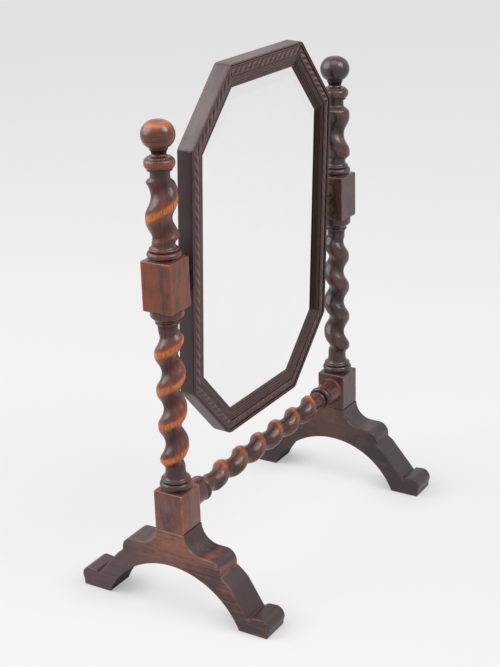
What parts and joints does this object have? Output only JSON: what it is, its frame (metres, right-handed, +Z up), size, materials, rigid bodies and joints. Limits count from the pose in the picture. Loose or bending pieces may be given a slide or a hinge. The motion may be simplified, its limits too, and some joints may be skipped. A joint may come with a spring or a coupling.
{
  "type": "dressing table mirror",
  "caption": "Octagonal bevelled mirror in a moulded oak frame, tilting between two twist-turned posts on arched legs joined by a twist-turned stretcher.",
  "frame": {"origin": "on the floor, midway between the two legs and their toes", "axes": "+Z up, the glass faces -Y, the posts stand at +X and -X"},
  "size_m": [0.427, 0.261, 0.6127],
  "materials": {
    "leg_oak": "satin",
    "turned_oak": "satin",
    "finial_oak": "satin",
    "frame_oak": "satin",
    "key_oak": "matte",
    "silvered_glass": "polished",
    "packing_pine": "matte",
    "backboard_wood": "matte",
    "sprig_steel": "matte",
    "plate_brass": "satin",
    "screw_brass": "satin",
    "washer_leather": "matte"
  },
  "bodies": {
    "stand": {"left_leg": "leg_oak", "right_leg": "leg_oak", "left_post": "turned_oak", "right_post": "turned_oak", "left_finial": "finial_oak", "right_finial": "finial_oak", "stretcher": "turned_oak", "left_socket_plate": "plate_brass", "right_socket_plate": "plate_brass", "socket_plate_screws": "screw_brass"},
    "mirror": {"frame_top_rail": "frame_oak", "frame_upper_right_rail": "frame_oak", "frame_right_rail": "frame_oak", "frame_lower_right_rail": "frame_oak", "frame_bottom_rail": "frame_oak", "frame_lower_left_rail": "frame_oak", "frame_left_rail": "frame_oak", "frame_upper_left_rail": "frame_oak", "corner_keys": "key_oak", "mirror_glass": "silvered_glass", "glass_packing_blocks": "packing_pine", "backboard": "backboard_wood", "backboard_sprigs": "sprig_steel", "left_pin_plate": "plate_brass", "right_pin_plate": "plate_brass", "pin_plate_screws": "screw_brass", "left_friction_washer": "washer_leather", "right_friction_washer": "washer_leather"}
  },
  "joints": [
    {"name": "mirror_tilt", "type": "hinge", "parent": "stand", "child": "mirror", "pos_m": [0, 0, 0.3955], "axis": [1, 0, 0], "continuous": true}
  ]
}
